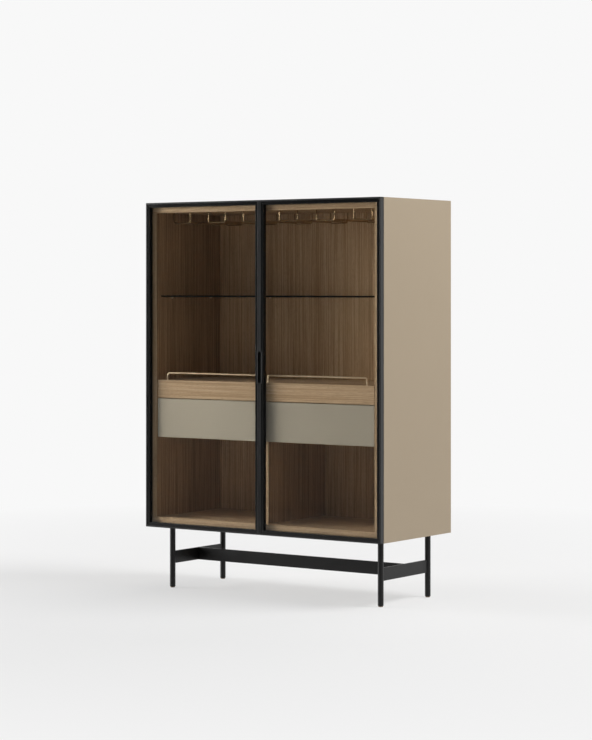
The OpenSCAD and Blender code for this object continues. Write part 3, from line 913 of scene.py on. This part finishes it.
class FitShelf(CabinetOperator, bpy.types.Operator):
    """Lays the glass shelf on its pins"""
    bl_idname = "cabinet.fit_shelf"
    bl_label = "Fit shelf"

    def execute(self, context):
        sizes = context.scene.cabinet_sizes
        tint = context.scene.cabinet_finishes.shelf_glass
        glass = glass_material("Shelf glass", tint, smear=0.01)
        shelf = dress("glass_shelf", glass, "shelf_glass", sizes.glass_edge)
        self.darken_rim(shelf, shaded_shelf_edge_material(context))
        dress("shelf_pins", brass_material(context), "brushed_brass", sizes.metal_edge)
        return {"FINISHED"}

    def darken_rim(self, shelf, rim):
        """Gives all but the two large faces the near-black edge, painted shade for how dark a glass
        edge looks.
        """
        shelf.data.materials.append(rim)
        flat = 0.99
        for face in shelf.data.polygons:
            face.material_index = 0 if abs(face.normal.z) > flat else 1


class HangStemwareHangers(CabinetOperator, bpy.types.Operator):
    """Bends and welds the stemware hangers under the ceiling"""
    bl_idname = "cabinet.hang_stemware_hangers"
    bl_label = "Hang stemware hangers"
    hanger_count: bpy.props.IntProperty(
        name="Hangers", description="Number of stemware hangers", default=6, min=1
    )

    def execute(self, context):
        sizes = context.scene.cabinet_sizes
        radius = sizes.hanger_wire / 2
        low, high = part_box("stemware_hangers")
        front, rear = low[1] + radius, high[1] - radius
        bar, ceiling = low[2] + radius, high[2]
        half = sizes.hanger_width / 2
        first = low[0] + radius + half
        last = high[0] - radius - half
        # The rails meet the hoops halfway round their bends
        halfway = math.pi / 4
        inset = sizes.hanger_bend * (1 - math.cos(halfway))
        rail_half = half - inset
        rail_height = bar + inset
        side = Vector((1, 0, 0))

        def hangers(bm):
            """Draws each hanger as a front and a rear hoop joined by two rails."""
            for index in range(self.hanger_count):
                centre = first + (last - first) * index / max(self.hanger_count - 1, 1)
                left, right = centre - half, centre + half
                for depth in (front, rear):
                    hoop(bm, left, right, bar, ceiling, depth, sizes.hanger_bend, radius)
                for end in (-rail_half, rail_half):
                    ends = [Vector((centre + end, depth, rail_height)) for depth in (front, rear)]
                    sweep(bm, ends, radius, side)

        piece = piece_from("stemware_hangers.finished", hangers)
        smooth_round(piece)
        mark_grain(piece)
        seat(piece, shaded_brass_material(context), "brushed_brass", "stemware_hangers")
        return {"FINISHED"}


class HangDoors(CabinetOperator, bpy.types.Operator):
    """Frames, glazes and hangs the two doors"""
    bl_idname = "cabinet.hang_doors"
    bl_label = "Hang doors"

    def execute(self, context):
        finishes = context.scene.cabinet_finishes
        sizes = context.scene.cabinet_sizes
        satin = aluminium_material(context, "Black aluminium", roughness=0.36)
        bright = aluminium_material(context, "Bright black aluminium", roughness=0.2)
        glass = glass_material("Smoked glass", finishes.smoked_glass, smear=0.02)
        rubber = rubber_material(context)
        for side in SIDES:
            for part in ("hinge_stile", "meeting_stile", "top_rail", "bottom_rail"):
                bar = dress(f"{side}_door_{part}", satin, "black_aluminium", sizes.frame_edge)
                self.polish_recess(bar, bright)
            dress(f"{side}_door_glass", glass, "smoked_glass", sizes.glass_edge)
            for part in ("gasket", "pull"):
                dress(f"{side}_door_{part}", rubber, "black_rubber", sizes.metal_edge / 2)
            for part in ("pivot_blocks", "corner_keys"):
                dress(f"{side}_door_{part}", zinc_material(context), "zinc_plated_steel",
                      sizes.metal_edge)
        return {"FINISHED"}

    def polish_recess(self, bar, bright):
        """Gives the sunk face between the rim and the glass its brighter polish."""
        bar.data.materials.append(bright)
        facing = -0.99
        sunk_from = min(vertex.co.y for vertex in bar.data.vertices) + 0.6 * MM
        for face in bar.data.polygons:
            sunk = face.normal.y < facing and face.center.y > sunk_from
            face.material_index = 1 if sunk else 0


class BuildTrays(CabinetOperator, bpy.types.Operator):
    """Veneers the pull-out trays and bends their gallery rails"""
    bl_idname = "cabinet.build_trays"
    bl_label = "Build trays"

    def execute(self, context):
        sizes = context.scene.cabinet_sizes
        oak = oak_material(context)
        radius = sizes.gallery_wire / 2
        for side in SIDES:
            for part in ("front", "frame"):
                dress(f"{side}_tray_{part}", oak, "oak_veneer", sizes.board_edge)
            node = f"{side}_tray_gallery"
            low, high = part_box(node)
            piece = piece_from(
                f"{node}.finished", hoop, low[0] + radius, high[0] - radius,
                high[2] - radius, low[2], middle(node)[1], sizes.gallery_bend, radius,
            )
            smooth_round(piece)
            mark_grain(piece)
            seat(piece, brass_material(context), "brushed_brass", node)
            dress(f"{side}_tray_sliders", zinc_material(context), "zinc_plated_steel",
                  sizes.metal_edge)
        return {"FINISHED"}


class BuildDrawers(CabinetOperator, bpy.types.Operator):
    """Lacquers the drawer fronts and finishes the oak boxes"""
    bl_idname = "cabinet.build_drawers"
    bl_label = "Build drawers"

    def execute(self, context):
        sizes = context.scene.cabinet_sizes
        tint = context.scene.cabinet_finishes.grey
        grey = lacquer_material("Grey lacquer", tint, mottle=0.12, gloss=0.5)
        for side in SIDES:
            dress(f"{side}_drawer_front", grey, "grey_lacquer", sizes.panel_edge)
            dress(f"{side}_drawer_box", oak_material(context), "oak_veneer", sizes.board_edge)
            dress(f"{side}_drawer_sliders", zinc_material(context), "zinc_plated_steel",
                  sizes.metal_edge)
        return {"FINISHED"}


class FitHardware(CabinetOperator, bpy.types.Operator):
    """Fits the hinge leaves, the catch magnets and the runner channels"""
    bl_idname = "cabinet.fit_hardware"
    bl_label = "Fit hardware"

    def execute(self, context):
        edge = context.scene.cabinet_sizes.metal_edge
        dress("case_hinge_leaves", steel_material(context), "black_steel", edge)
        for node in ("catch_magnets", "runner_channels", "hinge_screws"):
            dress(node, zinc_material(context), "zinc_plated_steel", edge)
        return {"FINISHED"}


class StandOnBase(CabinetOperator, bpy.types.Operator):
    """Turns the legs and fits the glides and the bars and plates of the base"""
    bl_idname = "cabinet.stand_on_base"
    bl_label = "Stand on base"

    def execute(self, context):
        sizes = context.scene.cabinet_sizes
        steel = steel_material(context)
        edge = sizes.metal_edge
        for end in ("front", "rear"):
            for side in SIDES:
                self.turn_leg(f"leg_{end}_{side}", sizes, steel)
        for node in ("left_base_bar", "right_base_bar", "long_base_bar", "leg_plates"):
            dress(node, steel, "black_steel", edge)
        dress("plate_screws", zinc_material(context), "zinc_plated_steel", edge)
        dress("leg_glides", felt_material(context), "felt", edge)
        return {"FINISHED"}

    def turn_leg(self, node, sizes, steel):
        """A leg as one turned tube with a chamfered foot."""
        low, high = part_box(node)
        radius = (high[0] - low[0]) / 2
        bore = radius / 2
        chamfer = sizes.foot_chamfer
        profile = [
            (bore, low[2]),
            (radius - chamfer, low[2]),
            (radius, low[2] + chamfer),
            (radius, high[2]),
            (bore, high[2]),
        ]
        piece = piece_from(f"{node}.finished", lathe, middle(node), profile)
        soften(piece, sizes.metal_edge, node)
        mark_grain(piece)
        seat(piece, steel, "black_steel", node)


class LightStudio(CabinetOperator, bpy.types.Operator):
    """Lays the floor, hangs the lamps and stands the camera"""
    bl_idname = "cabinet.light_studio"
    bl_label = "Light studio"

    def execute(self, context):
        studio = context.scene.cabinet_studio
        self.lay_floor(studio)
        self.light_world(context, studio)
        self.hang_lamps(context, studio)
        self.stand_camera(context, studio)
        context.scene.view_settings.view_transform = "Standard"
        return {"FINISHED"}

    def seen_by(self, tree):
        """Masks of the rays that look straight at the studio, and of gloss."""
        rays = place(tree, "ShaderNodeLightPath").outputs
        unspread = calc(tree, "LESS_THAN", rays["Diffuse Depth"], HALF)
        unmirrored = calc(tree, "LESS_THAN", rays["Glossy Depth"], HALF)
        straight = calc(tree, "MAXIMUM", rays["Is Camera Ray"], rays["Is Transmission Ray"])
        straight = calc(tree, "MULTIPLY", calc(tree, "MULTIPLY", straight, unspread), unmirrored)
        return straight, calc(tree, "MULTIPLY", rays["Is Glossy Ray"], unspread)

    def glow(self, tree, studio, depth, low, high, darkest):
        """Brightness of the backdrop, which gloss sees darker towards the camera."""
        straight, gloss = self.seen_by(tree)
        share = remap(tree, depth, low, high, darkest, 1.0)
        share = calc(tree, "MAXIMUM", straight, calc(tree, "MULTIPLY", gloss, share))
        mask = calc(tree, "MAXIMUM", straight, gloss)
        return calc(tree, "MULTIPLY", share, studio.backdrop), mask

    def lay_floor(self, studio):
        """Lays a wide pale floor that keeps the shadows and fades into the backdrop."""
        reach = 16 * METRE
        cells = 32
        gloss_fade = (-2.4 * METRE, -0.2 * METRE)
        glow_fade = (1.2 * METRE, 3.4 * METRE)

        def slab(bm):
            """Draws the floor as a grid."""
            bmesh.ops.create_grid(bm, x_segments=cells, y_segments=cells, size=reach)

        floor = piece_from("studio_floor", slab)
        material = bpy.data.materials.new("Studio floor")
        material.use_nodes = True
        tree = material.node_tree
        shader = tree.nodes["Principled BSDF"]
        shader.inputs["Roughness"].default_value = 0.9
        shader.inputs["Specular IOR Level"].default_value = 0.0
        where = place(tree, "ShaderNodeTexCoord").outputs["Object"]
        depth = place(tree, "ShaderNodeSeparateXYZ", {0: where}).outputs["Y"]
        strength, mask = self.glow(tree, studio, depth, *gloss_fade, studio.dark_floor)
        tint = mix_colours(tree, mask, opaque(studio.floor), opaque(studio.shaded_floor))
        tree.links.new(tint, shader.inputs["Base Color"])
        emission = place(tree, "ShaderNodeEmission", {"Strength": strength})
        away = place(tree, "ShaderNodeVectorMath", {0: where}, operation="LENGTH").outputs["Value"]
        far = remap(tree, away, *glow_fade, studio.floor_glow, 1.0)
        mixed = place(tree, "ShaderNodeMixShader", {
            0: calc(tree, "MULTIPLY", far, mask),
            1: shader.outputs["BSDF"],
            2: emission.outputs[0],
        })
        tree.links.new(mixed.outputs[0], tree.nodes["Material Output"].inputs["Surface"])
        floor.data.materials.append(material)

    def light_world(self, context, studio):
        """Fills the room with soft light and gives it a pale backdrop."""
        gloss_fade = (-0.45, 0.1)
        world = bpy.data.worlds.new("Studio")
        world.use_nodes = True
        context.scene.world = world
        tree = world.node_tree
        background = tree.nodes["Background"]
        where = place(tree, "ShaderNodeTexCoord").outputs["Generated"]
        depth = place(tree, "ShaderNodeSeparateXYZ", {0: where}).outputs["Y"]
        strength, mask = self.glow(tree, studio, depth, *gloss_fade, studio.dark_side)
        soft = calc(tree, "MULTIPLY", calc(tree, "SUBTRACT", 1.0, mask), studio.sky)
        tree.links.new(calc(tree, "ADD", strength, soft), background.inputs["Strength"])
        background.inputs["Color"].default_value = WHITE

    def hang_lamps(self, context, studio):
        """Hangs the square lamps and aims them at the cabinet."""
        target = Vector(studio.lamp_target)
        for name in ("key", "fill", "back"):
            data = bpy.data.lights.new(f"{name}_light", "AREA")
            data.energy = getattr(studio, name)
            data.shape = "SQUARE"
            data.size = getattr(studio, f"{name}_width")
            lamp = bpy.data.objects.new(f"{name}_light", data)
            lamp.location = getattr(studio, f"{name}_place")
            lamp.rotation_euler = (target - lamp.location).to_track_quat("-Z", "Y").to_euler()
            context.scene.collection.objects.link(lamp)

    def stand_camera(self, context, studio):
        """Stands the camera where the photograph was taken from."""
        data = bpy.data.cameras.new("camera")
        data.lens = studio.camera_lens
        data.shift_y = studio.camera_rise
        camera = bpy.data.objects.new("camera", data)
        camera.location = studio.camera_place
        camera.rotation_euler = (math.pi / 2, 0.0, studio.camera_turn)
        context.scene.collection.objects.link(camera)
        context.scene.camera = camera


OPERATORS = (
    DressCase, LineCase, FitShelf, HangStemwareHangers, HangDoors, BuildTrays, BuildDrawers,
    FitHardware, StandOnBase, LightStudio,
)
PROPERTY_GROUPS = {
    "cabinet_finishes": CabinetFinishes,
    "cabinet_sizes": CabinetSizes,
    "cabinet_studio": CabinetStudio,
}


class CabinetPanel(bpy.types.Panel):
    """Lists the sizes, the finishes and the steps of the bar cabinet"""
    bl_idname = "VIEW3D_PT_bar_cabinet"
    bl_label = "Bar Cabinet"
    bl_space_type = "VIEW_3D"
    bl_region_type = "UI"
    bl_category = "Bar Cabinet"

    def draw(self, context):
        """Draws a box for each family of settings and a button for each step."""
        for name in PROPERTY_GROUPS:
            box = self.layout.box()
            settings = getattr(context.scene, name)
            for key in settings.__annotations__:
                box.prop(settings, key)
        for operator in OPERATORS:
            self.layout.operator(operator.bl_idname)


CLASSES = (*PROPERTY_GROUPS.values(), *OPERATORS, CabinetPanel)


def register():
    """Registers the settings, the steps and the panel."""
    for item in CLASSES:
        bpy.utils.register_class(item)
    for name, group in PROPERTY_GROUPS.items():
        setattr(bpy.types.Scene, name, bpy.props.PointerProperty(type=group))


def unregister():
    """Takes the panel, the steps and the settings out again."""
    for name in PROPERTY_GROUPS:
        delattr(bpy.types.Scene, name)
    for item in reversed(CLASSES):
        bpy.utils.unregister_class(item)


def main():
    """Builds the whole scene."""
    register()
    for operator in OPERATORS:
        family, step = operator.bl_idname.split(".")
        getattr(getattr(bpy.ops, family), step)()


if __name__ == "__main__":
    main()
